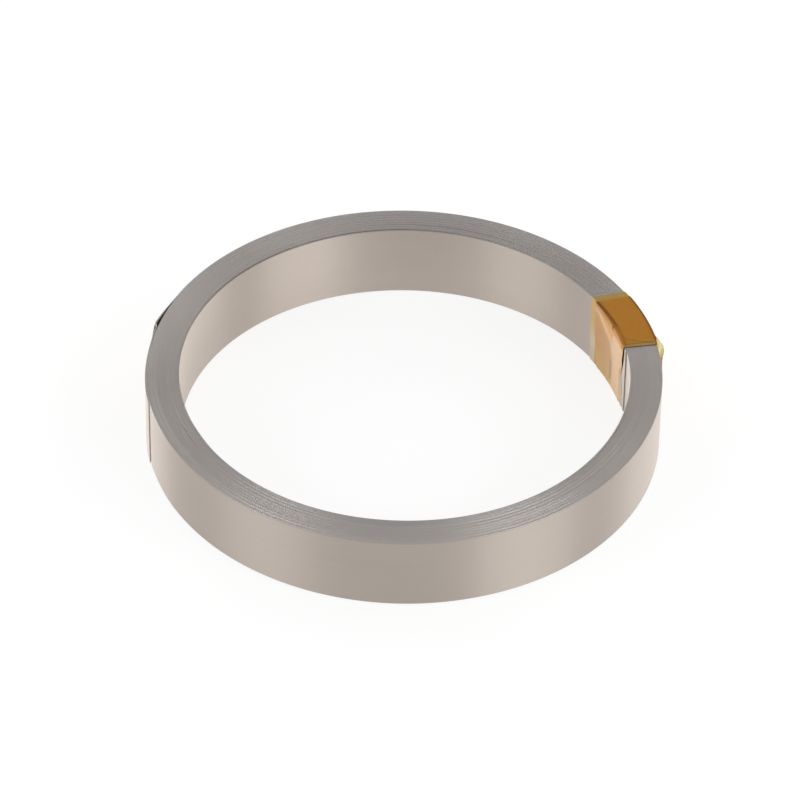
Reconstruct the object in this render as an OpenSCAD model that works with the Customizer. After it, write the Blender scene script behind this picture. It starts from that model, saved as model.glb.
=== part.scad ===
// A flat ring coil of nickel strip, held by a band of amber tape round its section.
// Sizes are in millimetres, +Z is up, and the coil lies on the edge of its strip.

/* [Strip] */
// Thickness of the strip
strip_t = 0.1; // [0.08:0.01:0.2]
// Width of the strip, which is the height of the coil
strip_w = 8; // [5:0.5:12]
// Length of strip wound on the coil
strip_len = 5000; // [2500:100:8000]
// Ease on the slit edges of the strip
edge_ease = 0.02; // [0.01:0.005:0.035]

/* [Coil] */
// Mean diameter of the bore
bore_d = 45.65; // [38:0.05:60]
// Air between one turn and the next
turn_gap = 0.002; // [0.001:0.001:0.01]
// Direction in which the inner end of the strip lies, in degrees from +X
inner_end_az = 9; // [0:1:60]

/* [Tape] */
// Width of the tape
tape_w = 8; // [5:0.5:10]
// Thickness of one layer of tape
tape_t = 0.06; // [0.04:0.01:0.1]
// Clearance between the tape and the coil
tape_seat = 0.02; // [0.015:0.005:0.05]

/* [Tape band] */
// Sideways step from the first layer of the band to the second
layer_step = 0.9; // [0.3:0.1:2]
// Distance along the bore from the inner end of the strip to the band
band_clear = 0.25; // [0.1:0.05:1]
// Distance by which the middle line of the band passes beside the axis of the coil
band_lean = 1.75; // [0:0.05:2.5]

/* [End tape] */
// Angle round the coil from the band to the end tape
end_tape_turn = 148; // [90:1:200]
// Length of the end tape that is folded under the coil
end_tape_fold = 2.5; // [1:0.1:3]

/* [Hidden] */
$fn = 180;

NICKEL = [0.66, 0.63, 0.60];
AMBER = [0.74, 0.47, 0.10];
BAND_LAYERS = 2;
HALF_TURN = 180;
FULL_TURN = 360;

// The coil lies on the underside of the band
coil_z = tape_seat + BAND_LAYERS * tape_t;

// Each turn takes the strip's thickness and the air beside it
pitch = strip_t + turn_gap;
start_r = (bore_d - pitch) / 2;

// The turns n solve strip_len = PI * n * (2 * start_r + strip_t) + PI * pitch * n * n
first_turn_d = 2 * start_r + strip_t;
turns = (sqrt(pow(first_turn_d, 2) + 4 * pitch * strip_len / PI) - first_turn_d) / (2 * pitch);
whole_turns = floor(turns);
last_turn_sweep = FULL_TURN * (turns - whole_turns);
coil_r = start_r + (turns + 1) * pitch;

// The near edge of the band keeps clear of the inner end of the strip
band_w = tape_w + layer_step;
band_near_edge = band_w / 2 - band_lean;
band_az = inner_end_az + asin((band_near_edge + band_clear) / start_r);
end_tape_az = band_az + end_tape_turn;
reach = coil_r + tape_w;

// The spiral is two half turns, each a true arc, centred a quarter pitch to either side of the axis
function centre_x(half) = (2 * half - 1) * pitch / 4;
function inner_r(half) = start_r + (2 * half + 1) * pitch / 4;

// The part of the last turn that lies in one half, and the number of turns that go right round that half
function grown_sweep(grow) = last_turn_sweep + grow / coil_r * HALF_TURN / PI;
function last_sweep(half, grow) = min(HALF_TURN, max(0, grown_sweep(grow) - half * HALF_TURN));
function turns_round(half, grow) = whole_turns + (last_sweep(half, grow) == HALF_TURN ? 1 : 0);

// Sweeps a section, drawn from the inner wall outwards, round one half of the coil
module half_turn(half, sweep) {
    rotate([0, 0, inner_end_az])
        translate([centre_x(half), 0, coil_z])
            rotate([0, 0, half * HALF_TURN])
                rotate_extrude(angle = sweep)
                    translate([inner_r(half), 0])
                        children();
}

// The turns side by side, with the eased edges of the strip showing as lines on both ends
module turns_section(first, last) {
    lower = [[0, edge_ease], [edge_ease, 0], [pitch - edge_ease, 0]];
    upper = [[pitch - edge_ease, strip_w], [edge_ease, strip_w], [0, strip_w - edge_ease]];
    polygon(concat(
        [for (turn = [first : last - 1]) for (point = lower) point + [turn * pitch, 0]],
        [[last * pitch, edge_ease], [last * pitch, strip_w - edge_ease]],
        [for (turn = [last - 1 : -1 : first]) for (point = upper) point + [turn * pitch, 0]]
    ));
}

// The same turns as one plain block that is larger on every side, which the tape is laid round
module grown_section(turn_count, grow) {
    translate([-grow, -grow])
        square([turn_count * pitch + 2 * grow, strip_w + 2 * grow]);
}

module grown_coil(grow) {
    for (half = [0, 1]) {
        half_turn(half, HALF_TURN)
            grown_section(turns_round(half, grow), grow);
        if (last_sweep(half, grow) > 0)
            half_turn(half, last_sweep(half, grow))
                grown_section(whole_turns + 1, grow);
    }
}

// Tape laid right over the coil, from which the pieces are cut
module tape_skin(layers) {
    difference() {
        grown_coil(tape_seat + layers * tape_t);
        grown_coil(tape_seat);
    }
}

// A straight piece of that tape, which runs across the ring and round its section
module band_layers(width, layers) {
    intersection() {
        tape_skin(layers);
        rotate([0, 0, band_az])
            translate([0, band_lean - width / 2, -strip_w])
                cube([reach, width, 3 * strip_w]);
    }
}

module strip_coil() {
    color(NICKEL)
        for (half = [0, 1]) {
            half_turn(half, HALF_TURN)
                turns_section(0, turns_round(half, 0));
            if (last_sweep(half, 0) > 0 && last_sweep(half, 0) < HALF_TURN)
                half_turn(half, last_sweep(half, 0))
                    turns_section(whole_turns, whole_turns + 1);
        }
}

module tape_band() {
    color(AMBER) {
        band_layers(band_w, 1);
        band_layers(tape_w - layer_step, BAND_LAYERS);
    }
}

module end_tape() {
    color(AMBER)
        intersection() {
            tape_skin(1);
            rotate([0, 0, end_tape_az])
                translate([coil_r - end_tape_fold, -tape_w / 2, coil_z - strip_w])
                    cube([reach, tape_w, 2 * strip_w]);
        }
}

strip_coil();
tape_band();
end_tape();
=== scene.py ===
import math

import bpy
import numpy as np
from mathutils import Matrix, Vector


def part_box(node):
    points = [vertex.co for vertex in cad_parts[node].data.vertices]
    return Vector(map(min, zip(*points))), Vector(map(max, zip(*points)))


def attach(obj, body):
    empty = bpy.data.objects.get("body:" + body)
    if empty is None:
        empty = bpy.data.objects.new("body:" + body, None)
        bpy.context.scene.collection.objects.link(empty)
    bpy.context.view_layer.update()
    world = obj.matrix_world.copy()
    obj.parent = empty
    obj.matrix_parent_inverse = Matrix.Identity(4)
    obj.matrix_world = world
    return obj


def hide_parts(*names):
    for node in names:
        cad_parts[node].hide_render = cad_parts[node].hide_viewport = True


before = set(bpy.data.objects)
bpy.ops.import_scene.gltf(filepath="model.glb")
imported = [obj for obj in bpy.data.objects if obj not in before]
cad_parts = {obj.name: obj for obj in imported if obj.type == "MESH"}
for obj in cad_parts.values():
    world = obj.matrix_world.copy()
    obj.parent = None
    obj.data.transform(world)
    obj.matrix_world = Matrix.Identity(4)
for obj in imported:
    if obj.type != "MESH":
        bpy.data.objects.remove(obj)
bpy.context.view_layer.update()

# Sizes are in millimetres and angles in degrees until a mesh is made
MM = 0.001
FULL_TURN = 2 * np.pi

# The strip and its winding
STRIP_T = 0.1
STRIP_W = 8.0
STRIP_LEN = 5000.0
EDGE_EASE = 0.004
BORE_D = 45.65
TURN_GAP = 0.002
INNER_END_AZ = 9.0
OUTER_END_MORE = 1.6
STEPS_PER_TURN = 270
STRIP_SHARP = 25.0

# The slitting roll on the strip's outer face. It is worn on the last turn, and the wear comes in between
# two angles before the outer end
ROLL_WIDTH = 0.022
ROLL_HEIGHT = 0.034
LAST_TURN_WORN = 0.6
WORN_FROM = 372.0
WORN_TO = 350.0

# How far the strip's two ends spring off their neighbours, and the length of strip over which that fades
INNER_SPRING = 0.016
INNER_SPRING_RUN = 0.5
OUTER_SPRING = 0.003
OUTER_SPRING_RUN = 1.2

# Waves in the height of the winding: height, waves per turn wound, phase
HEIGHT_WAVES = ((0.005, 0.731, 0.0), (0.004, 1.913, 1.0), (0.004, 0.217, 2.2))

# The place where the last turn stands away from the coil, under the end tape
KINK_START_AZ = 154.8
KINK_CREST_AZ = 164.5
KINK_FOOT_AZ = 165.9
KINK_STOP_AZ = 172.0
KINK_STEP = 0.4
KINK_RISE = 0.37
KINK_POWER = 1.2
KINK_FOOT_RISE = 0.08
BRIDGE_STOP_AZ = 169.6

# Arcs where the turns have opened: turns inside the gap, middle azimuth, spread, gap, share of it inwards
LOOSE_ARCS = (
    (2, 118.0, 40.0, 0.120, 0.9),
    (10, 78.0, 22.0, 0.045, 0.5),
    (10, 206.5, 4.5, 0.060, 0.5),
    (4, 268.0, 16.0, 0.040, 0.4),
    (8, 272.0, 20.0, 0.040, 0.4),
    (2, 331.0, 14.0, 0.055, 0.6),
    (21, 300.0, 12.0, 0.025, 0.4),
)

# Place before the outer end where all the turns lie a little apart
SLACK_AZ = 188.5
SLACK_SPREAD = 10.0
SLACK_WHOLE = 0.13

# The tape. Its film thins at the long edges to a share of its thickness
TAPE_W = 8.0
TAPE_T = 0.06
FILM_T = 0.045
FILM_EDGE_W = 0.2
FILM_EDGE_SHARE = 0.3
FILM_SHARP = 40.0
TAPE_SEAT = 0.02
LAYER_STEP = 0.9
BAND_CLEAR = 0.25
BAND_LEAN = 1.75
END_TAPE_TURN = 148.0
END_TAPE_FOLD = 2.5
FOLD_POWER = 0.4
FOLD_SAG = 0.35
RIPPLE_LENGTH = 2.6
RIPPLE_SPREAD = (0.5, 1.6)
RIPPLE_GAIN = 1.6

# Places round the coil's section, as loop_stations counts them, and how far out and how high each one is
SIDES_ROUND = 4.0
OUTER_WALL = 3.0
OUTNESS = ((0, 1), (1, 0), (2, 0), (3, 1), (4, 1))
HIGHNESS = ((0, 1), (1, 1), (2, 0), (3, 0), (4, 1))

# The band's course in such places, and where one lap passes into the next
BAND_START = 3.05
FIRST_BORE = 5.0
SECOND_LAP = 7.0
SECOND_BORE = 9.0
TAIL = 11.0
TAIL_RIM = 12.0
BAND_STOP = 11.985
LAP_BEFORE = 0.02
LAP_AFTER = 0.12

# Turn of the band's outward direction where its second lap lies on the top
SECOND_TOP_TURN = 810.0

# Grids of the two tapes: steps along a side, steps round a corner, points across
BAND_GRID = (37, 13, 101)
END_TAPE_GRID = (26, 9, 97)

# Where the band's top and its run down the bore begin and end, by place from the bore's rim
TOP_HEAD = (-1.0, -0.9)
TOP_FOOT = (-0.04, 0.0)
BORE_HEAD = (-0.02, 0.0)
BORE_FOOT = (1.0, 1.02)
KNOT_HEAD = (-0.1, 0.0)

# By place along the band: its sideways drift, and how far its near edge is pulled in on each lap
BAND_DRIFT = ((3, 0.55), (4, 0.5), (5.5, 0.5), (7, 0.1), (8, -0.38), (9.5, -0.38), (11, -2.2), (12, -3.6))
FIRST_PULL = ((4.5, 0.0), (5.0, 0.1), (5.35, 0.7), (6.2, 0.7), (6.6, 0.0))
SECOND_PULL = ((8.1, 0.0), (9.0, 0.35), (9.3, 0.7), (9.5, 1.1), (10.2, 1.15), (10.9, 0.0))

# By sideways place: the depth under the bore's rim at which the band meets the wall, the depth down to
# which its facet is painted orange for the glow of light through it, and the distance from the rim to the
# painted shade line of its fold
CREASE_DEPTH = ((-2.7, 4.2), (0.0, 3.8), (1.35, 3.3), (2.0, 2.5), (3.5, 1.6), (4.7, 0.7), (6.2, 0.5))
FACET_DEPTH = ((-2.7, 0.8), (0.9, 1.1), (1.5, 2.9), (2.0, 2.4), (3.5, 1.6), (4.7, 0.8), (6.2, 0.4))
FOLD_LINE = ((-0.5, 0.18), (5.5, 0.02))

# By depth under the rim: how far the loose near edge of the band stands off the bore wall
LOOSE_STAND = ((0.0, 0.05), (0.8, 0.10), (2.0, 0.12), (2.8, 0.05), (3.6, 0.0), (8.0, 0.0))
LOOSE_STOP = 1.4

# Fine relief of the band
BAND_RIPPLE = 0.003
BAND_SEED = 5
CARRY_BLEND = 0.3
TAIL_CARRY_BLEND = 0.35
FIRST_LAP_STAND = 0.4
STUCK_DOWN = 0.018
STUCK_DEPTH = (3.0, 4.0)
STUCK_EDGE = (0.1, 0.4)
PLEAT_RISE = 0.01
PLEAT_LENGTH = 0.42
PLEAT_SLANT = 0.5
BLISTER_RISE = 0.62
BLISTER_MIDDLE = -3.1
BLISTER_SPREAD = 1.45
BLISTER_RUN = 2.0

# Wrinkles on the band's top: distance from the near edge, its growth inwards, power of the growth, width
WRINKLES = ((0.30, 0.5, 1, 0.06), (0.5, 1.4, 2, 0.07), (0.62, 0.1, 1, 0.05))
WRINKLE_RISE = 0.012

# Where tones of the band come in or fade, by degrees of the bend over the bore's rim
DOWN_BEND = (52.0, 88.0)
FOLD_BEND = (15.0, 60.0)
KNOT_BEND = (5.0, 30.0)

# The same by depth under the rim
UNDER_FOLD_DEPTH = (0.0, 1.0)
KNOT_DEPTH = (0.2, 0.7)
STREAK_HEAD = (4.3, 5.2)
STREAK_FOOT = (6.9, 7.5)
GOLD_DEPTH = (4.8, 7.0)
BARE_DEPTH = (3.2, 4.6)
PALE_DEPTH = (2.4, 5.4)

# The same by sideways place
FOLD_FULL = (0.5, 1.4)
GOLD_ACROSS = (0.9, 1.5)
TAUT_ACROSS = (1.1, 1.8)
GLINT_ACROSS = (0.6, 1.6)

# The same by distance from an edge of the tape
LAP_EDGE = (-0.15, 0.1)
FRINGE_EDGE = (-0.05, 0.05)
BARE_EDGE = (0.2, 1.2)

# The same by share of the way over the top from the outer rim
OUTER_FOLD = (0.01, 0.045)
CORNER_FAN = (0.88, 1.0)

# The same by share of the facet's depth, and by how level the film's outward direction is, which sets the
# painted light of the walls under it
FACET_END = (0.55, 1.15)
WALL_LIGHT_LEVEL = (0.72, 0.96)

# Middle and spread of the painted shade marks and of the painted glint on the band: sideways, from its near
# edge, and from its crease
KNOT_SHADE = (1.1, 0.2)
STREAK_SHADE = (1.5, 0.24)
CORNER_SHADE = (0.95, 0.3)
GLINT_MARK = (-0.1, 0.4)
FOLD_WIDTH = 0.13

# How strong those tones, painted shades and the painted glint are, and the blister's height from which
# light comes right through
ALONE_TONE = 0.30
FOLD_NEAR_TONE = 0.45
UNDER_FOLD_TONE = 0.45
OUTER_FOLD_TONE = 0.8
STREAK_TONE = 0.5
WRINKLE_TONE = 0.45
CORNER_TONE = 0.8
GOLD_TONE = 0.8
TAUT_TONE = 0.7
GLINT_TONE = 0.8
FRINGE_TONE = 0.3
BARE_TONE = 0.85
FREE_BLISTER = 0.16

# The end tape. Where it is free of the strip, light comes through it, and more so near its top
END_TAPE_STOP = 3.99
END_TAPE_RIPPLE = 0.004
END_TAPE_SEED = 11
FREE_BRIDGE = 0.05
LIT_LEAST = 0.45
LIT_SPAN = (3.4, 3.95)

# What a film's points carry for its material
FILM_SHARES = ("doubled", "free", "wall_light", "facet", "glint", "loose", "pale", "fold")

# Tones of the nickel, dark and light where there are two
OUTER_FACE = ((0.475, 0.419, 0.373), (0.505, 0.446, 0.397))
# The inner face is painted lighter, which stands in for the brighter light on the bore wall
INNER_FACE = ((0.515, 0.454, 0.404), (0.545, 0.481, 0.428))
OUTER_FACE_RIM = (0.385, 0.343, 0.312)
# The slit edges are painted lighter towards the outer turns, for the brighter reflection there
INNER_EDGES = ((0.452, 0.423, 0.404), (0.512, 0.479, 0.457))
OUTER_EDGES = ((0.502, 0.470, 0.448), (0.568, 0.532, 0.507))

# Where the outer face's darker rim and then the inner face begin, by the way round the strip's section
RIM_SPAN = (STRIP_W - 0.28, STRIP_W - 0.10)
INNER_FACE_SPAN = (STRIP_W - 0.1, STRIP_W + 0.1)

# Tones of the film
SINGLE_ON_EDGES = (0.36, 0.237, 0.070)
DOUBLED_ON_EDGES = (0.385, 0.162, 0.020)
# Where the film lies on a wall it is painted lighter, for the light that the bright nickel under it gives
# back through it
SINGLE_WALL_LIT = (0.60, 0.385, 0.095)
DOUBLED_WALL_LIT = (0.53, 0.260, 0.065)
PALE_FILM = (0.68, 0.61, 0.50)
LOOSE_FILM = (0.84, 0.54, 0.285)
# Painted glow of the light through the facet where it stands off the bore wall
FACET_GLOW_FILM = (0.82, 0.36, 0.035)
GLINT_FILM = (0.88, 0.63, 0.41)
# Painted shade of the folds, creases and wrinkles
FOLD_SHADE_FILM = (0.12, 0.036, 0.0)
FREE_FILM = (0.99, 0.92, 0.44)
FILM_MOTTLE = ((0.93, 0.90, 0.84), (1.0, 1.0, 1.0))
FILM_SHEEN = (1.0, 0.78, 0.45, 1.0)

# Noises on the surfaces: scale along, across and off them, detail, roughness
ROLLING_LINES = ((0.03, 14.0, 1.0), 5.0, 0.65)
ROLLING_CLOUDS = ((0.05, 0.35, 1.0), 3.0, 0.5)
ROLLING_WAVES = ((0.16, 0.02, 1.0), 3.0, 0.6)
SLIT_NOISE = ((0.02, 0.6, 1.0), 6.0, 0.7)
FILM_HAZE = ((0.7, 0.7, 1.0), 4.0, 0.6)

# The part of a noise in which a tone changes, and the ranges of roughness and of light let through
NOISE_SPAN = (0.3, 0.7)
WHOLE_SPAN = (0.0, 1.0)
FACE_ROUGHNESS = (0.40, 0.44)
EDGE_ROUGHNESS = (0.36, 0.44)
FILM_ROUGHNESS = (0.12, 0.24)
FOLD_ROUGHNESS = (0.0, 0.7)
FREE_LIGHT = (0.06, 0.96)

# Strength and distance of the fine relief on the faces and the film
FACE_RELIEF = (1.0, 0.05)
FILM_RELIEF = (0.2, 0.03)

# The floor's white: what it gives back to the object, what the lamps show on it, and what is its own
FLOOR_HALF = 20000.0
FLOOR_BOUNCE = 0.8
FLOOR_LIT = 0.22
FLOOR_OWN = 0.80

# The tent, and the soft boxes in metres: bearing, elevation, width, height, radiance
TENT_GREY = 0.50
BOX_DISTANCE = 0.6
SOFT_BOXES = {
    "right_front_box": (51.0, 24.0, 0.42, 0.42, 3.1),
    "left_front_box": (-57.0, 24.0, 0.36, 0.36, 2.5),
    "right_back_box": (121.0, 16.0, 0.58, 0.32, 3.4),
    "left_back_box": (-136.0, 15.0, 0.60, 0.30, 4.3),
}

coil_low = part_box("strip_coil")[0].z / MM
pitch = STRIP_T + TURN_GAP
start_r = (BORE_D - pitch) / 2
first_turn_d = 2 * start_r + STRIP_T
turns = (math.sqrt(first_turn_d ** 2 + 4 * pitch * STRIP_LEN / np.pi) - first_turn_d) / (2 * pitch)
coil_r = start_r + (turns + 1) * pitch
band_near_edge = (TAPE_W + LAYER_STEP) / 2 - BAND_LEAN
band_az = INNER_END_AZ + math.degrees(math.asin((band_near_edge + BAND_CLEAR) / start_r))
end_tape_az = band_az + END_TAPE_TURN

# Sideways places of the near edges of the band's two laps
first_near = BAND_LEAN + LAYER_STEP / 2 - TAPE_W / 2
second_near = first_near - LAYER_STEP


def rise(value, low, high):
    """A smooth step: 0 up to low, 1 from high on, and three t squared less two t cubed between."""
    t = np.clip((value - low) / (high - low), 0.0, 1.0)
    return t * t * (3.0 - 2.0 * t)


def hump(value, middle, spread):
    """A bell: e to the power of minus the square of the distance from the middle over the spread."""
    return np.exp(-((value - middle) / spread) ** 2)


def by_table(value, table):
    """What a table of pairs gives for a value, going straight from each pair to the next."""
    places, values = zip(*table)
    return np.interp(value, places, values)


def at_least(least, share):
    """A share that goes up to 1 from the least value instead of from 0."""
    return least + (1.0 - least) * share


def away_from(azimuth, middle):
    """Angle from a middle azimuth, from half a turn before it to half a turn after."""
    return np.mod(azimuth - middle + 180.0, 360.0) - 180.0


def ripple(a, b, scale, seed, waves=7):
    """An uneven surface between about -1 and 1: the mean of a few sines of seeded heading and length."""
    rng = np.random.default_rng(seed)
    heading = rng.uniform(0.0, FULL_TURN, waves)
    length = scale * rng.uniform(*RIPPLE_SPREAD, waves)
    phase = rng.uniform(0.0, FULL_TURN, waves)
    along = np.multiply.outer(a, np.cos(heading) / length)
    across = np.multiply.outer(b, np.sin(heading) / length)
    return np.sin(FULL_TURN * (along + across) + phase).mean(axis=-1) * RIPPLE_GAIN


def make_piece(name, points, faces, materials, face_material=None, maps=None, shares=None):
    """Puts points in millimetres and four-cornered faces into a mesh, with its UV maps and point values."""
    mesh = bpy.data.meshes.new(name)
    points = points.reshape(-1, 3) * MM
    mesh.vertices.add(len(points))
    mesh.vertices.foreach_set("co", points.ravel())
    corners = faces.ravel()
    mesh.loops.add(len(corners))
    mesh.loops.foreach_set("vertex_index", corners)
    mesh.polygons.add(len(faces))
    mesh.polygons.foreach_set("loop_start", np.arange(0, len(corners), 4))
    for material in materials:
        mesh.materials.append(material)
    if face_material is not None:
        mesh.polygons.foreach_set("material_index", face_material)
    for map_name, corner_uv in (maps or {}).items():
        layer = mesh.uv_layers.new(name=map_name)
        layer.uv.foreach_set("vector", corner_uv.ravel().astype(np.float32))
    for share_name, values in (shares or {}).items():
        share = mesh.attributes.new(share_name, "FLOAT", "POINT")
        share.data.foreach_set("value", values.ravel().astype(np.float32))
    mesh.update(calc_edges=True)
    mesh.validate()
    mesh.shade_smooth()
    piece = bpy.data.objects.new(name, mesh)
    bpy.context.scene.collection.objects.link(piece)
    return piece


def grid_faces(rows, columns):
    """The four-cornered faces of a grid of points, row by row, facing so that column by row points out."""
    first = np.arange(rows - 1)[:, None] * columns + np.arange(columns - 1)[None, :]
    return np.stack([first, first + 1, first + columns + 1, first + columns], axis=-1).reshape(-1, 4)


def kink(azimuth):
    """How far the last turn stands off.

    It rises to the crest by a power of the way there, falls to its foot in a short smooth step, and goes
    from the foot to nothing in a straight slope.
    """
    up = np.clip((azimuth - KINK_START_AZ) / (KINK_CREST_AZ - KINK_START_AZ), 0.0, 1.0)
    foot = KINK_FOOT_RISE * np.clip((KINK_STOP_AZ - azimuth) / (KINK_STOP_AZ - KINK_FOOT_AZ), 0.0, 1.0)
    fall = rise(azimuth, KINK_CREST_AZ, KINK_FOOT_AZ)
    return KINK_RISE * up ** KINK_POWER * (1.0 - fall) + foot * fall


def wound_radius(wind):
    """Radius of the strip's inner face at a wind angle: the start and one pitch for every turn made."""
    return start_r + pitch * wind / FULL_TURN


def last_turn_wind(azimuth):
    """Wind angle of the last turn at an azimuth."""
    return FULL_TURN * math.floor(turns) + np.radians(azimuth - INNER_END_AZ)


def turn_slack(wind):
    """How far a place on the strip has moved out: a bell along each loose arc, shared by both its sides.

    Before the outer end the turns share a slack of their own, which grows evenly from turn to turn.
    """
    azimuth = INNER_END_AZ + np.degrees(wind)
    away = away_from(azimuth, SLACK_AZ)
    slack = SLACK_WHOLE * wind / (FULL_TURN * turns) * hump(away, 0.0, SLACK_SPREAD)
    for turns_inside, middle, spread, gap, inwards in LOOSE_ARCS:
        away = away_from(azimuth, middle)
        outside = azimuth - away > middle + 360.0 * (turns_inside - 0.5)
        slack = slack + np.where(outside, 1.0 - inwards, -inwards) * gap * hump(away, 0.0, spread)
    return slack


def strip_wind():
    """Wind angles along the whole strip, in equal steps with finer ones at the kink, to its outer end."""
    wound = turns + OUTER_END_MORE / 360.0
    steps = math.ceil(wound * STEPS_PER_TURN)
    even = np.minimum(np.arange(steps + 1) * FULL_TURN / STEPS_PER_TURN, wound * FULL_TURN)
    fine = last_turn_wind(np.arange(KINK_START_AZ, KINK_STOP_AZ, KINK_STEP))
    return np.union1d(even, fine)


def wound_strip(materials):
    """The strip as its section carried along a spiral, with the slitting roll on its outer face only.

    At wind angle a the section stands at radius start + pitch * a / one turn, moved by the slack of the
    turns. Its height wanders by a sum of three sines of a. Its two ends spring a little off their
    neighbours, and the last turn has a kink.
    """
    wind = strip_wind()
    azimuth = INNER_END_AZ + np.degrees(wind)
    run = start_r * wind + pitch * wind ** 2 / (2 * FULL_TURN)
    last_turn = azimuth > azimuth[-1] - 360.0
    radius = wound_radius(wind) + turn_slack(wind)
    radius = radius - INNER_SPRING * np.exp(-run / INNER_SPRING_RUN)
    radius = radius + OUTER_SPRING * np.exp(-(run[-1] - run) / OUTER_SPRING_RUN)
    radius = radius + np.where(last_turn, kink(np.mod(azimuth, 360.0)), 0.0)
    height = np.zeros_like(wind)
    for wave_height, waves_per_turn, phase in HEIGHT_WAVES:
        height = height + wave_height * np.sin(waves_per_turn * wind + phase)

    t, w, e = STRIP_T, STRIP_W, EDGE_EASE
    out = np.array([t, t, t - ROLL_WIDTH, e, 0.0, 0.0, e, t - ROLL_WIDTH])
    up = np.array([ROLL_HEIGHT, w - ROLL_HEIGHT, w, w, w - e, e, 0.0, 0.0])
    section_run = np.concatenate([[0.0], np.cumsum(np.hypot(np.diff(out), np.diff(up)))])
    section_loop = section_run[-1] + math.hypot(ROLL_WIDTH, ROLL_HEIGHT)

    r = radius[:, None] + out[None, :]
    z = coil_low + height[:, None] + up[None, :]
    worn = LAST_TURN_WORN * rise(azimuth, azimuth[-1] - WORN_FROM, azimuth[-1] - WORN_TO)[:, None]
    r[:, [2, 7]] = r[:, [2, 7]] + worn * ROLL_WIDTH
    z[:, [0, 1]] = z[:, [0, 1]] + worn * ROLL_HEIGHT * np.array([-1.0, 1.0])
    a = np.radians(azimuth)[:, None]
    points = np.stack([r * np.cos(a), r * np.sin(a), z], axis=-1)

    rings, corners = points.shape[:2]
    ring = np.arange(rings - 1)[:, None] * corners
    here = np.arange(corners)[None, :]
    there = (here + 1) % corners
    sides = np.stack([ring + here, ring + here + corners, ring + there + corners, ring + there], axis=-1)
    inner_cap = np.array([[0, 1, 2, 3], [0, 3, 4, 7], [4, 5, 6, 7]])
    outer_cap = (rings - 1) * corners + inner_cap[:, ::-1]
    faces = np.concatenate([sides.reshape(-1, 4), inner_cap, outer_cap])

    rolled, slit = 0, 1
    side_material = np.array([rolled, slit, slit, slit, rolled, slit, slit, slit])
    cap_material = np.full(len(inner_cap) + len(outer_cap), slit)
    face_material = np.concatenate([np.tile(side_material, rings - 1), cap_material])

    across = np.concatenate([section_run, [section_loop]])
    u = np.stack([run[:-1], run[1:], run[1:], run[:-1]], axis=-1)[:, None, :]
    v = np.stack([across[:-1], across[:-1], across[1:], across[1:]], axis=-1)[None, :, :]
    side_uv = np.stack(np.broadcast_arrays(u, v), axis=-1).reshape(-1, 2)
    cap_uv = np.stack([out, up], axis=-1)[np.concatenate([inner_cap, inner_cap[:, ::-1]]).ravel()]
    corner_uv = np.concatenate([side_uv, cap_uv])

    piece = make_piece("nickel_strip", points, faces, materials, face_material, {"strip_run": corner_uv})
    piece.data.set_sharp_from_angle(angle=math.radians(STRIP_SHARP))
    return piece


def loop_stations(first, last, side_steps, corner_steps):
    """Path of a tape round the coil's section, from side number first to side number last.

    Sides are counted round and round: top, inner wall, bottom, outer wall, top again. Returned are the
    place, which stays on a whole number while the tape bends round a corner, and the turn of the outward
    direction.
    """
    sides = np.arange(math.floor(first), math.ceil(last))
    flat = np.linspace(0.0, 1.0, side_steps)
    bend = np.linspace(1.0, 2.0, corner_steps + 2)[1:-1]
    step = np.concatenate([flat, bend])
    walk = (2.0 * sides[:, None] + step[None, :]).ravel()
    side = np.floor(walk / 2.0)
    part = walk - 2.0 * side
    place = side + np.minimum(part, 1.0)
    turn = 90.0 * (side + 1.0 + np.maximum(part - 1.0, 0.0))
    keep = (place >= first) & (place <= last)
    return place[keep], turn[keep]


def folded(share):
    """A share of the outward direction raised to a small power, with its sign, which makes a fold sharp."""
    return np.sign(share) * np.abs(share) ** FOLD_POWER


def round_section(place, turn, across, off_wall, off_flat, inner_r, outer_r, azimuth):
    """Points of a film laid round the coil's section.

    The section at a sideways place y goes from the bore wall, at the root of inner radius squared less y
    squared, to the outer wall, found the same way, and from the coil's low end to its top. The film stands
    off it by off_wall times the cosine and off_flat times the sine of the outward direction, both folded.
    """
    near = np.sqrt(inner_r ** 2 - across ** 2)
    far = np.sqrt(outer_r ** 2 - across ** 2)
    lap = np.mod(place, SIDES_ROUND)[:, None]
    wall_share = np.cos(np.radians(turn))[:, None]
    flat_share = np.sin(np.radians(turn))[:, None]
    x = near + by_table(lap, OUTNESS) * (far - near) + folded(wall_share) * off_wall
    z = coil_low + by_table(lap, HIGHNESS) * STRIP_W + folded(flat_share) * off_flat
    cos_a, sin_a = math.cos(math.radians(azimuth)), math.sin(math.radians(azimuth))
    return np.stack([x * cos_a - across * sin_a, x * sin_a + across * cos_a, z], axis=-1)


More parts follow.
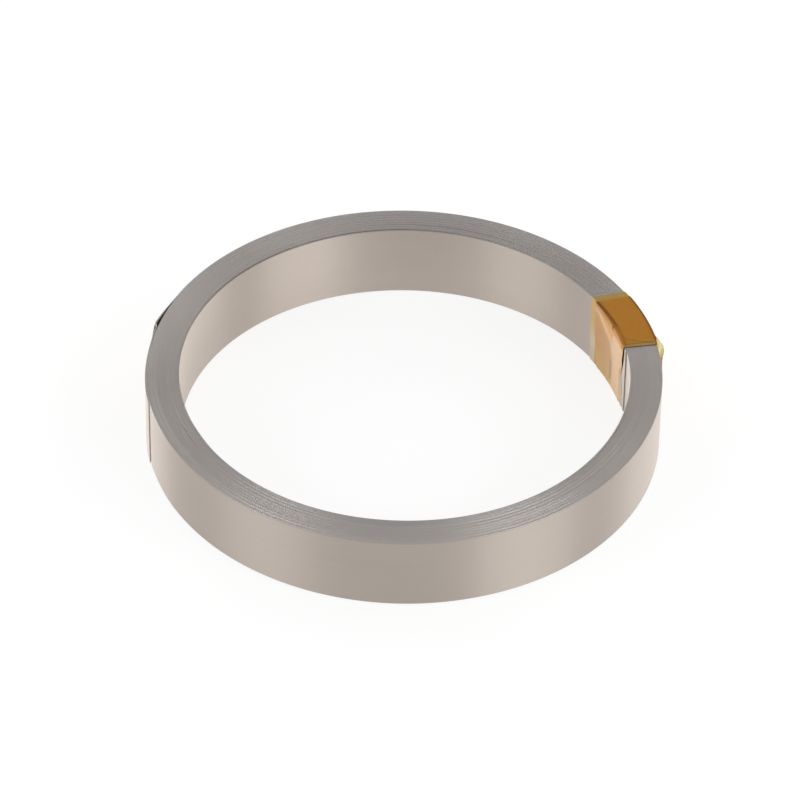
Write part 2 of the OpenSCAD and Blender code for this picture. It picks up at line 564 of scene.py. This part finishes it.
def film_piece(name, middle, material, shares):
    """A film from the grid of points in its middle.

    Its two faces lie half a thickness to either side along the grid's normal, which is the cross product of
    the grid's two steps, and four narrow rims join them. The film thins towards its two long edges.
    """
    along = np.gradient(middle, axis=0)
    sideways = np.gradient(middle, axis=1)
    normal = np.cross(sideways, along)
    normal = normal / np.linalg.norm(normal, axis=-1, keepdims=True)
    rows, columns = middle.shape[:2]
    from_edge = TAPE_W / 2 - np.abs(np.linspace(-TAPE_W / 2, TAPE_W / 2, columns))
    thinned = at_least(FILM_EDGE_SHARE, rise(from_edge, 0.0, FILM_EDGE_W))
    half = 0.5 * FILM_T * thinned[None, :, None]
    points = np.stack([middle + half * normal, middle - half * normal])

    number = np.arange(2 * rows * columns).reshape(2, rows, columns)
    outer = grid_faces(rows, columns)
    inner = outer[:, ::-1] + rows * columns
    rims = []
    for out, back in (
        number[:, 0],
        number[:, ::-1, 0],
        number[:, -1, ::-1],
        number[:, :, -1],
    ):
        rims.append(np.stack([out[1:], out[:-1], back[:-1], back[1:]], axis=-1))
    faces = np.concatenate([outer, inner, *rims])

    run = np.linalg.norm(np.diff(middle, axis=0), axis=-1)[:, columns // 2]
    run = np.concatenate([[0.0], np.cumsum(run)])
    grid = np.stack(np.meshgrid(run, np.linspace(0.0, TAPE_W, columns), indexing="ij"), axis=-1)
    corner_uv = np.tile(grid.reshape(-1, 2), (2, 1))[faces.ravel()]
    both = {share: np.stack([values, values]) for share, values in shares.items()}
    piece = make_piece(name, points, faces, [material], None, {"film_run": corner_uv}, both)
    piece.data.set_sharp_from_angle(angle=math.radians(FILM_SHARP))
    return piece


def rim_chord(across, near_edge, inner_r):
    """How far a straight fold from edge to edge of the tape stands inside the round rim of the bore.

    The rim is at the root of inner radius squared less y squared, and the fold goes straight between the
    rim's points at the tape's two edges.
    """
    far_edge = near_edge + TAPE_W
    near_x = math.sqrt(inner_r ** 2 - near_edge ** 2)
    far_x = math.sqrt(inner_r ** 2 - far_edge ** 2)
    straight = near_x + (far_x - near_x) * (across - near_edge) / TAPE_W
    return np.maximum(np.sqrt(inner_r ** 2 - across ** 2) - straight, 0.0)


def bore_stand(across, depth, chord, near_edge):
    """How far the band stands off the bore wall, by sideways place and by depth under the rim.

    Under the straight fold the film slopes in a flat facet to the crease where it meets the wall, and the
    crease runs down from the far end of the fold to the near half. Nearer than that the film stays loose.
    """
    facet = chord * np.clip(1.0 - depth / by_table(across, CREASE_DEPTH), 0.0, 1.0)
    nearness = np.clip((LOOSE_STOP - across) / (LOOSE_STOP - near_edge), 0.0, 1.0)
    return np.maximum(facet, by_table(depth, LOOSE_STAND) * nearness)


class BandCourse:
    """The band's grid of points: where each lies along the tape and across it, on which lap and wall.

    Rows follow the tape round the section, and columns go evenly from its near edge to its far one. The
    sideways place is the lean, the row's drift, the distance from the tape's middle line, and a pull that
    fades out away from the near edge. A share is 1 on what it names and 0 elsewhere.
    """

    def __init__(self):
        side_steps, corner_steps, columns = BAND_GRID
        self.place, self.turn = loop_stations(BAND_START, BAND_STOP, side_steps, corner_steps)
        self.inner_r = wound_radius(math.radians(band_az - INNER_END_AZ))
        self.outer_r = wound_radius(last_turn_wind(band_az)) + STRIP_T

        off_middle = np.linspace(-TAPE_W / 2, TAPE_W / 2, columns)
        pull = by_table(self.place, SECOND_PULL) + by_table(self.place, FIRST_PULL)
        drift = by_table(self.place, BAND_DRIFT)
        self.from_edge = off_middle + TAPE_W / 2
        self.pulled = pull[:, None] * (1.0 - rise(off_middle, -TAPE_W / 2, -TAPE_W / 8))[None, :]
        self.across = BAND_LEAN + drift[:, None] + off_middle[None, :] + self.pulled
        self.place_grid = np.broadcast_to(self.place[:, None], self.across.shape)
        self.turn_grid = np.broadcast_to(self.turn[:, None], self.across.shape)
        self.bend = self.turn_grid - SECOND_TOP_TURN

        self.second_lap = rise(self.place_grid, SECOND_LAP - LAP_BEFORE, SECOND_LAP + LAP_AFTER)
        self.tail = rise(self.place_grid, TAIL - LAP_BEFORE, TAIL + LAP_AFTER)
        lap_bore = np.where(self.place_grid < SECOND_LAP, FIRST_BORE, SECOND_BORE)
        self.lap_place = self.place_grid - lap_bore
        self.depth = np.clip(self.lap_place, 0.0, 1.0) * STRIP_W
        above_foot = 1.0 - rise(self.lap_place, *BORE_FOOT)
        self.on_bore = rise(self.lap_place, *BORE_HEAD) * above_foot * (1.0 - self.tail)

        self.fan = 1.0 + self.lap_place
        self.from_near = self.across - second_near
        before_rim = 1.0 - rise(self.lap_place, *TOP_FOOT)
        past_outer_rim = rise(self.lap_place, *TOP_HEAD)
        self.on_top = self.second_lap * past_outer_rim * before_rim * (1.0 - self.tail)

    def lie(self):
        """How far the film's middle lies off the coil.

        That is the seat and half a tape, one tape more for each lap that carries it, and a fine ripple. Low
        on the bore the second lap is stuck down where the first does not carry it.
        """
        carrier_near = first_near + by_table(self.place - SIDES_ROUND, FIRST_PULL)[:, None]
        carried = self.second_lap * rise(self.across, carrier_near - CARRY_BLEND, carrier_near)
        carried_twice = self.tail * rise(self.across, second_near - TAIL_CARRY_BLEND, second_near)
        lie = TAPE_SEAT + TAPE_T * (0.5 + carried + carried_twice)
        lie = lie + BAND_RIPPLE * ripple(self.place_grid * STRIP_W, self.across, RIPPLE_LENGTH, BAND_SEED)
        stuck = self.on_bore * self.second_lap * (1.0 - carried) * rise(self.depth, *STUCK_DEPTH)
        at_edge = 1.0 - rise(self.from_edge, *STUCK_EDGE)
        return lie - stuck * (STUCK_DOWN + STUCK_DOWN * at_edge)

    def stand(self):
        """How far the film stands off the bore wall, with sine pleats at the second lap's pulled edge."""
        chord = FOLD_SAG * rim_chord(self.across, first_near, self.inner_r)
        first_stand = FIRST_LAP_STAND * bore_stand(self.across, self.depth, chord, first_near)
        second_chord = np.maximum(chord, FOLD_SAG * rim_chord(self.across, second_near, self.inner_r))
        wave = np.sin(FULL_TURN * self.across / PLEAT_LENGTH + PLEAT_SLANT * self.depth)
        pleat = PLEAT_RISE * self.pulled * self.on_bore * (1.0 + wave)
        second_stand = bore_stand(self.across, self.depth, second_chord, second_near) + pleat
        return self.on_bore * np.where(self.place_grid < SECOND_LAP, first_stand, second_stand)

    def blister(self):
        """How far the tail stands off the outer wall: a bell across it, dying away below the rim."""
        below_rim = np.clip(TAIL_RIM - self.place_grid, 0.0, 1.0) * STRIP_W
        bell = BLISTER_RISE * hump(self.across, BLISTER_MIDDLE, BLISTER_SPREAD)
        return bell * np.exp(-below_rim / BLISTER_RUN) * self.tail

    def wrinkle(self):
        """Share of the wrinkles, which are narrow bells that fan out over the top from the near edge."""
        lines = np.zeros_like(self.across)
        for start, growth, power, width in WRINKLES:
            lines = lines + hump(self.from_near, start + growth * self.fan ** power, width)
        return self.on_top * lines

    def down_bore(self):
        """Share of the second lap on the bore wall, from where it has bent over the rim."""
        return self.on_bore * self.second_lap * rise(self.bend, *DOWN_BEND)

    def dark(self):
        """Share of the painted shade: the largest of the shade lines along the folds, the shade under one,
        and the small shade marks at a knot, a crease streak, the wrinkles and a corner.
        """
        laid = self.second_lap * (1.0 - self.tail)
        down_bore = self.down_bore()
        from_rim = -self.lap_place * (self.outer_r - self.inner_r)
        fold = laid * hump(from_rim, by_table(self.across, FOLD_LINE), FOLD_WIDTH)
        fold = fold * at_least(FOLD_NEAR_TONE, rise(self.across, *FOLD_FULL))
        fold = fold * np.where(self.lap_place < 0.0, 1.0, 1.0 - rise(self.bend, *FOLD_BEND))
        over_top = (self.fan >= 0.0) & (self.fan <= 1.0)
        outer_fold = laid * np.where(over_top, 1.0 - rise(self.fan, *OUTER_FOLD), 0.0)
        under_fold = down_bore * (1.0 - rise(self.depth, *UNDER_FOLD_DEPTH))
        knot = laid * hump(self.across, *KNOT_SHADE) * rise(self.bend, *KNOT_BEND)
        knot = knot * rise(self.lap_place, *KNOT_HEAD) * (1.0 - rise(self.depth, *KNOT_DEPTH))
        corner = self.on_top * hump(self.from_near, *CORNER_SHADE) * rise(self.fan, *CORNER_FAN)
        streak_end = 1.0 - rise(self.depth, *STREAK_FOOT)
        streak = down_bore * hump(self.across, *STREAK_SHADE) * rise(self.depth, *STREAK_HEAD) * streak_end
        return np.maximum.reduce([
            fold,
            knot,
            OUTER_FOLD_TONE * outer_fold,
            UNDER_FOLD_TONE * under_fold,
            STREAK_TONE * streak,
            WRINKLE_TONE * self.wrinkle(),
            CORNER_TONE * corner,
        ])

    def shares(self):
        """Shares of the film's tones at every point of the band."""
        down_bore = self.down_bore()
        far_fringe = self.on_bore * rise(self.from_near - TAPE_W, *FRINGE_EDGE)
        bare = down_bore * rise(self.depth, *BARE_DEPTH) * (1.0 - rise(self.from_edge, *BARE_EDGE))
        low_gold = down_bore * rise(self.across, *GOLD_ACROSS) * rise(self.depth, *GOLD_DEPTH)
        loose = down_bore * (1.0 - TAUT_TONE * rise(self.across, *TAUT_ACROSS)) * (1.0 - bare)
        lap_doubled = self.second_lap * at_least(ALONE_TONE, rise(self.across - first_near, *LAP_EDGE))
        lap_doubled = lap_doubled * (1.0 - GOLD_TONE * low_gold) * (1.0 - bare)
        facet_part = self.depth / by_table(self.across, FACET_DEPTH)
        from_crease = self.depth - by_table(self.across, CREASE_DEPTH)
        glint = down_bore * hump(from_crease, *GLINT_MARK) * rise(self.across, *GLINT_ACROSS)
        level = np.abs(np.cos(np.radians(self.turn_grid)))
        shares = dict.fromkeys(FILM_SHARES)
        shares["doubled"] = np.where(self.tail > 0.5, rise(self.from_near, *LAP_EDGE), lap_doubled)
        shares["free"] = np.clip(self.blister() / FREE_BLISTER, 0.0, 1.0)
        # Painted light: the film is lighter where a bright wall lies under it
        shares["wall_light"] = rise(level, *WALL_LIGHT_LEVEL)
        # Painted glow: the facet under the fold is orange
        shares["facet"] = down_bore * (1.0 - rise(facet_part, *FACET_END))
        shares["glint"] = GLINT_TONE * glint
        shares["loose"] = np.maximum(loose, FRINGE_TONE * far_fringe)
        shares["pale"] = np.maximum(far_fringe * rise(self.depth, *PALE_DEPTH), BARE_TONE * bare)
        # The fold share carries the painted shade of the folds, creases and wrinkles
        shares["fold"] = self.dark()
        return shares


def tape_band(material):
    """The band as one tape wound twice round the section, with a loose tail on the outer wall.

    The first lap lies half a step to the far side and the second half a step to the near side. A lap stands
    one film thickness higher where the lap under it carries it. Both fold over the round rim of the bore in
    a flatter line than the rim, the second lap is loose and pleated at its near edge on the bore wall, and
    the tail ends at the outer rim in a blister.
    """
    band = BandCourse()
    lie = band.lie()
    off_wall = lie + band.stand() + band.blister()
    off_flat = lie + WRINKLE_RISE * band.wrinkle()
    points = round_section(
        band.place, band.turn, band.across, off_wall, off_flat, band.inner_r, band.outer_r, band_az
    )
    return film_piece("tape_wrap", points, material, band.shares())


def end_tape(material):
    """The short tape that keeps the last turn down: up the outer wall from a fold under the coil.

    It follows the last turn's kink up to the crest, and goes on from there in a straight slope to the wall.
    """
    side_steps, corner_steps, columns = END_TAPE_GRID
    fold_start = OUTER_WALL - END_TAPE_FOLD / (coil_r - start_r)
    place, turn = loop_stations(fold_start, END_TAPE_STOP, side_steps, corner_steps)
    off_middle = np.linspace(-TAPE_W / 2, TAPE_W / 2, columns)
    across = np.broadcast_to(off_middle[None, :], (len(place), columns))
    place_grid = np.broadcast_to(place[:, None], across.shape)
    turn_grid = np.broadcast_to(turn[:, None], across.shape)
    azimuth = end_tape_az + np.degrees(np.arcsin(across / coil_r))
    bridge = KINK_RISE * (BRIDGE_STOP_AZ - azimuth) / (BRIDGE_STOP_AZ - KINK_CREST_AZ)
    stand = np.where(azimuth < KINK_CREST_AZ, kink(azimuth), np.maximum(bridge, kink(azimuth)))
    lie = TAPE_SEAT + 0.5 * TAPE_T
    lie = lie + END_TAPE_RIPPLE * ripple(place_grid * STRIP_W, across, RIPPLE_LENGTH, END_TAPE_SEED)
    outer_r = wound_radius(last_turn_wind(end_tape_az)) + STRIP_T
    points = round_section(place, turn, across, lie + stand, lie, start_r, outer_r, end_tape_az)

    lit_through = at_least(LIT_LEAST, rise(place_grid, *LIT_SPAN))
    shares = dict.fromkeys(FILM_SHARES, np.zeros_like(across))
    shares["free"] = lit_through * np.clip((stand - kink(azimuth)) / FREE_BRIDGE, 0.0, 1.0)
    # Painted light: the end tape is lighter where it lies on the outer wall
    shares["wall_light"] = np.abs(np.cos(np.radians(turn_grid)))
    return film_piece("tape_end", points, material, shares)


def empty_tree(owner):
    """The nodes and links of a material or a world, after its own nodes are taken out."""
    owner.use_nodes = True
    owner.node_tree.nodes.clear()
    return owner.node_tree.nodes, owner.node_tree.links


def new_material(name):
    """A material with only its Principled shader and its output, joined."""
    material = bpy.data.materials.new(name)
    nodes, links = empty_tree(material)
    shader = nodes.new("ShaderNodeBsdfPrincipled")
    output = nodes.new("ShaderNodeOutputMaterial")
    links.new(shader.outputs["BSDF"], output.inputs["Surface"])
    return material, nodes, links, shader


def run_map(nodes, name):
    """The places along and across a strip or film, from its UV map."""
    uv = nodes.new("ShaderNodeUVMap")
    uv.uv_map = name
    return uv.outputs["UV"]


def stretched_noise(nodes, links, source, scale, detail, roughness):
    """A noise read on stretched coordinates, so that its grain runs along the shorter scale."""
    mapping = nodes.new("ShaderNodeMapping")
    mapping.inputs["Scale"].default_value = scale
    noise = nodes.new("ShaderNodeTexNoise")
    noise.inputs["Scale"].default_value = 1.0
    noise.inputs["Detail"].default_value = detail
    noise.inputs["Roughness"].default_value = roughness
    links.new(source, mapping.inputs["Vector"])
    links.new(mapping.outputs["Vector"], noise.inputs["Vector"])
    return noise.outputs["Fac"]


def shade_ramp(nodes, links, source, dark, light):
    """A colour that goes from dark to light over the noise span of its source."""
    ramp = nodes.new("ShaderNodeValToRGB")
    for stop, position, colour in zip(ramp.color_ramp.elements, NOISE_SPAN, (dark, light)):
        stop.position = position
        stop.color = (*colour, 1.0)
    links.new(source, ramp.inputs["Fac"])
    return ramp.outputs["Color"]


def value_range(nodes, links, source, span, reach=WHOLE_SPAN):
    """A number that goes through its reach while its source goes through a span."""
    remap = nodes.new("ShaderNodeMapRange")
    remap.inputs["From Min"].default_value = span[0]
    remap.inputs["From Max"].default_value = span[1]
    remap.inputs["To Min"].default_value = reach[0]
    remap.inputs["To Max"].default_value = reach[1]
    links.new(source, remap.inputs["Value"])
    return remap.outputs["Result"]


def blended(nodes, links, share, plain, changed):
    """The plain colour where the share is 0 and the changed one where it is 1; either may be a socket."""
    mix = nodes.new("ShaderNodeMix")
    mix.data_type = "RGBA"
    links.new(share, mix.inputs["Factor"])
    for side, colour in (("A", plain), ("B", changed)):
        socket = next(i for i in mix.inputs if i.name == side and i.type == "RGBA")
        if isinstance(colour, tuple):
            socket.default_value = (*colour, 1.0)
        else:
            links.new(colour, socket)
    return next(o for o in mix.outputs if o.type == "RGBA")


def multiplied(nodes, links, plain, shade):
    """One colour multiplied by another."""
    mix = nodes.new("ShaderNodeMix")
    mix.data_type = "RGBA"
    mix.blend_type = "MULTIPLY"
    mix.inputs["Factor"].default_value = 1.0
    for side, colour in (("A", plain), ("B", shade)):
        links.new(colour, next(i for i in mix.inputs if i.name == side and i.type == "RGBA"))
    return next(o for o in mix.outputs if o.type == "RGBA")


def bumped(nodes, links, shader, height, strength, distance):
    """Gives a shader the fine relief of a height."""
    bump = nodes.new("ShaderNodeBump")
    bump.inputs["Strength"].default_value = strength
    bump.inputs["Distance"].default_value = distance * MM
    links.new(height, bump.inputs["Height"])
    links.new(bump.outputs["Normal"], shader.inputs["Normal"])


def point_share(nodes, name):
    """A value that the mesh carries at its points."""
    share = nodes.new("ShaderNodeAttribute")
    share.attribute_name = name
    return share.outputs["Fac"]


def rolled_nickel():
    """The strip's broad faces: satin nickel, whose rolling lines smear reflections across it.

    The inner face is painted lighter, for the brighter light on the bore wall, and the outer one is darker
    along its upper edge.
    """
    material, nodes, links, shader = new_material("rolled_nickel")
    uv = run_map(nodes, "strip_run")
    lines = stretched_noise(nodes, links, uv, *ROLLING_LINES)
    clouds = stretched_noise(nodes, links, uv, *ROLLING_CLOUDS)
    waves = stretched_noise(nodes, links, uv, *ROLLING_WAVES)
    apart = nodes.new("ShaderNodeSeparateXYZ")
    links.new(uv, apart.inputs["Vector"])
    inward = value_range(nodes, links, apart.outputs["Y"], INNER_FACE_SPAN)
    rim = value_range(nodes, links, apart.outputs["Y"], RIM_SPAN)
    outer_tone = blended(nodes, links, rim, shade_ramp(nodes, links, lines, *OUTER_FACE), OUTER_FACE_RIM)
    inner_tone = shade_ramp(nodes, links, lines, *INNER_FACE)
    links.new(blended(nodes, links, inward, outer_tone, inner_tone), shader.inputs["Base Color"])
    links.new(value_range(nodes, links, clouds, NOISE_SPAN, FACE_ROUGHNESS), shader.inputs["Roughness"])
    bumped(nodes, links, shader, waves, *FACE_RELIEF)
    along = nodes.new("ShaderNodeTangent")
    along.direction_type = "UV_MAP"
    along.uv_map = "strip_run"
    links.new(along.outputs["Tangent"], shader.inputs["Tangent"])
    shader.inputs["Anisotropic"].default_value = 0.88
    shader.inputs["Anisotropic Rotation"].default_value = 0.25
    shader.inputs["Metallic"].default_value = 1.0
    return material


def slit_nickel():
    """The strip's slit edges: duller nickel, uneven from turn to turn and painted a little lighter
    outwards, for the brighter reflection off the outer turns.
    """
    material, nodes, links, shader = new_material("slit_nickel")
    uv = run_map(nodes, "strip_run")
    uneven = stretched_noise(nodes, links, uv, *SLIT_NOISE)
    apart = nodes.new("ShaderNodeSeparateXYZ")
    links.new(uv, apart.inputs["Vector"])
    outward = value_range(nodes, links, apart.outputs["X"], (0.0, STRIP_LEN))
    inner_tone = shade_ramp(nodes, links, uneven, *INNER_EDGES)
    outer_tone = shade_ramp(nodes, links, uneven, *OUTER_EDGES)
    links.new(blended(nodes, links, outward, inner_tone, outer_tone), shader.inputs["Base Color"])
    links.new(value_range(nodes, links, uneven, NOISE_SPAN, EDGE_ROUGHNESS), shader.inputs["Roughness"])
    shader.inputs["Metallic"].default_value = 1.0
    return material


def amber_film():
    """The tape: a glossy amber film over nickel.

    One layer is yellow and two are brown, and both are painted lighter over the bright walls than over the
    slit edges, for the light that the nickel under the film gives back through it. On the bore the facet
    under the fold is painted orange, for the glow of light through it where it stands off the wall, a
    painted glint runs along the crease, the loose part is peach and the far edge fades to the nickel under
    it. The folds, creases and wrinkles carry painted shade, and the parts that stand free of the strip let
    light through.
    """
    material, nodes, links, shader = new_material("amber_film")
    share = {name: point_share(nodes, name) for name in FILM_SHARES}
    on_edges = blended(nodes, links, share["doubled"], SINGLE_ON_EDGES, DOUBLED_ON_EDGES)
    single = blended(nodes, links, share["pale"], SINGLE_WALL_LIT, PALE_FILM)
    wall_lit_tone = blended(nodes, links, share["doubled"], single, DOUBLED_WALL_LIT)
    # Painted light: lighter tones where a bright wall lies under the film
    tone = blended(nodes, links, share["wall_light"], on_edges, wall_lit_tone)
    tone = blended(nodes, links, share["loose"], tone, LOOSE_FILM)
    # Painted glow on the facet under the fold
    tone = blended(nodes, links, share["facet"], tone, FACET_GLOW_FILM)
    tone = blended(nodes, links, share["glint"], tone, GLINT_FILM)
    # Painted shade in the folds, creases and wrinkles
    tone = blended(nodes, links, share["fold"], tone, FOLD_SHADE_FILM)
    tone = blended(nodes, links, share["free"], tone, FREE_FILM)
    haze = stretched_noise(nodes, links, run_map(nodes, "film_run"), *FILM_HAZE)
    mottle = shade_ramp(nodes, links, haze, *FILM_MOTTLE)
    links.new(multiplied(nodes, links, tone, mottle), shader.inputs["Base Color"])
    through = value_range(nodes, links, share["free"], WHOLE_SPAN, FREE_LIGHT)
    links.new(through, shader.inputs["Transmission Weight"])
    duller = nodes.new("ShaderNodeMath")
    duller.operation = "MAXIMUM"
    links.new(value_range(nodes, links, haze, NOISE_SPAN, FILM_ROUGHNESS), duller.inputs[0])
    links.new(value_range(nodes, links, share["fold"], WHOLE_SPAN, FOLD_ROUGHNESS), duller.inputs[1])
    links.new(duller.outputs["Value"], shader.inputs["Roughness"])
    bumped(nodes, links, shader, haze, *FILM_RELIEF)
    shader.inputs["IOR"].default_value = 1.45
    shader.inputs["Specular IOR Level"].default_value = 0.28
    shader.inputs["Specular Tint"].default_value = FILM_SHEEN
    return material


def ray_share(nodes, links):
    """1 for camera, glossy and transmission rays, which see the plain white, and 0 for the rest."""
    path = nodes.new("ShaderNodeLightPath")
    seen = path.outputs["Is Camera Ray"]
    for kind in ("Is Glossy Ray", "Is Transmission Ray"):
        larger = nodes.new("ShaderNodeMath")
        larger.operation = "MAXIMUM"
        links.new(seen, larger.inputs[0])
        links.new(path.outputs[kind], larger.inputs[1])
        seen = larger.outputs["Value"]
    return seen


def grey_diffuse(nodes, level):
    """A matt grey surface."""
    matt = nodes.new("ShaderNodeBsdfDiffuse")
    matt.inputs["Color"].default_value = (level, level, level, 1.0)
    return matt.outputs["BSDF"]


def white_floor():
    """The floor's material: part of its white is its own, and the part from the lamps keeps the shadow."""
    material = bpy.data.materials.new("white_floor")
    nodes, links = empty_tree(material)
    output = nodes.new("ShaderNodeOutputMaterial")
    own_part = nodes.new("ShaderNodeEmission")
    own_part.inputs["Strength"].default_value = FLOOR_OWN
    shown = nodes.new("ShaderNodeAddShader")
    links.new(grey_diffuse(nodes, FLOOR_LIT), shown.inputs[0])
    links.new(own_part.outputs["Emission"], shown.inputs[1])
    choice = nodes.new("ShaderNodeMixShader")
    links.new(ray_share(nodes, links), choice.inputs["Fac"])
    links.new(grey_diffuse(nodes, FLOOR_BOUNCE), choice.inputs[1])
    links.new(shown.outputs["Shader"], choice.inputs[2])
    links.new(choice.outputs["Shader"], output.inputs["Surface"])
    return material


def lay_floor():
    """A level square floor under the coil."""
    side = np.array([-FLOOR_HALF, FLOOR_HALF])
    x, y = np.meshgrid(side, side, indexing="ij")
    points = np.stack([x, y, np.zeros_like(x)], axis=-1)
    floor = make_piece("floor", points, grid_faces(2, 2)[:, ::-1], [white_floor()])


def soft_lamp(name, bearing, elevation, width, height, radiance):
    """A soft box that faces the middle of the coil, by its bearing to the right of the camera's side."""
    light = bpy.data.lights.new(name, "AREA")
    light.shape = "RECTANGLE"
    light.size = width
    light.size_y = height
    light.energy = radiance * math.pi * width * height
    lamp = bpy.data.objects.new(name, light)
    bpy.context.scene.collection.objects.link(lamp)
    b, e = math.radians(bearing), math.radians(elevation)
    place = BOX_DISTANCE * Vector((math.sin(b) * math.cos(e), -math.cos(b) * math.cos(e), math.sin(e)))
    lamp.location = place
    lamp.rotation_euler = (-place).to_track_quat("-Z", "Y").to_euler()


def studio():
    """A grey tent and four soft boxes round the object."""
    world = bpy.data.worlds.new("tent")
    bpy.context.scene.world = world
    nodes, links = empty_tree(world)
    output = nodes.new("ShaderNodeOutputWorld")
    tent = nodes.new("ShaderNodeBackground")
    tent.inputs["Color"].default_value = (1.0, 1.0, 1.0, 1.0)
    tent.inputs["Strength"].default_value = TENT_GREY
    links.new(tent.outputs["Background"], output.inputs["Surface"])
    for name, box in SOFT_BOXES.items():
        soft_lamp(name, *box)


def photo_camera():
    """The camera of the photograph, from a fit to the coil's four rims in its 800 by 800 frame."""
    focal_px = 5159.74
    frame_px = 800.0
    distance = 525.29 * MM
    elevation = math.radians(40.377)
    roll = math.radians(0.9377)
    middle_px = (404.08, 400.72)
    camera = bpy.data.cameras.new("camera")
    camera.sensor_width = 36.0
    camera.lens = camera.sensor_width * focal_px / frame_px
    camera.shift_x = (frame_px / 2 - middle_px[0]) / frame_px
    camera.shift_y = (middle_px[1] - frame_px / 2) / frame_px
    camera.clip_start = 0.01
    stand = bpy.data.objects.new("camera", camera)
    bpy.context.scene.collection.objects.link(stand)
    target = Vector((0.0, 0.0, (coil_low + STRIP_W / 2) * MM))
    back = Vector((0.0, -math.cos(elevation), math.sin(elevation)))
    turn = Matrix.Rotation(math.pi / 2 - elevation, 4, "X") @ Matrix.Rotation(roll, 4, "Z")
    stand.matrix_world = Matrix.Translation(target + back * distance) @ turn
    bpy.context.scene.camera = stand


photo_camera()
studio()
lay_floor()

film = amber_film()
pieces = {
    "strip_coil": (wound_strip([rolled_nickel(), slit_nickel()]), "nickel"),
    "tape_band": (tape_band(film), "tape"),
    "end_tape": (end_tape(film), "tape"),
}
for node, (piece, slot) in pieces.items():
    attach(piece, "root")
    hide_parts(node)

bpy.context.scene.view_settings.view_transform = "Standard"
bpy.context.view_layer.update()
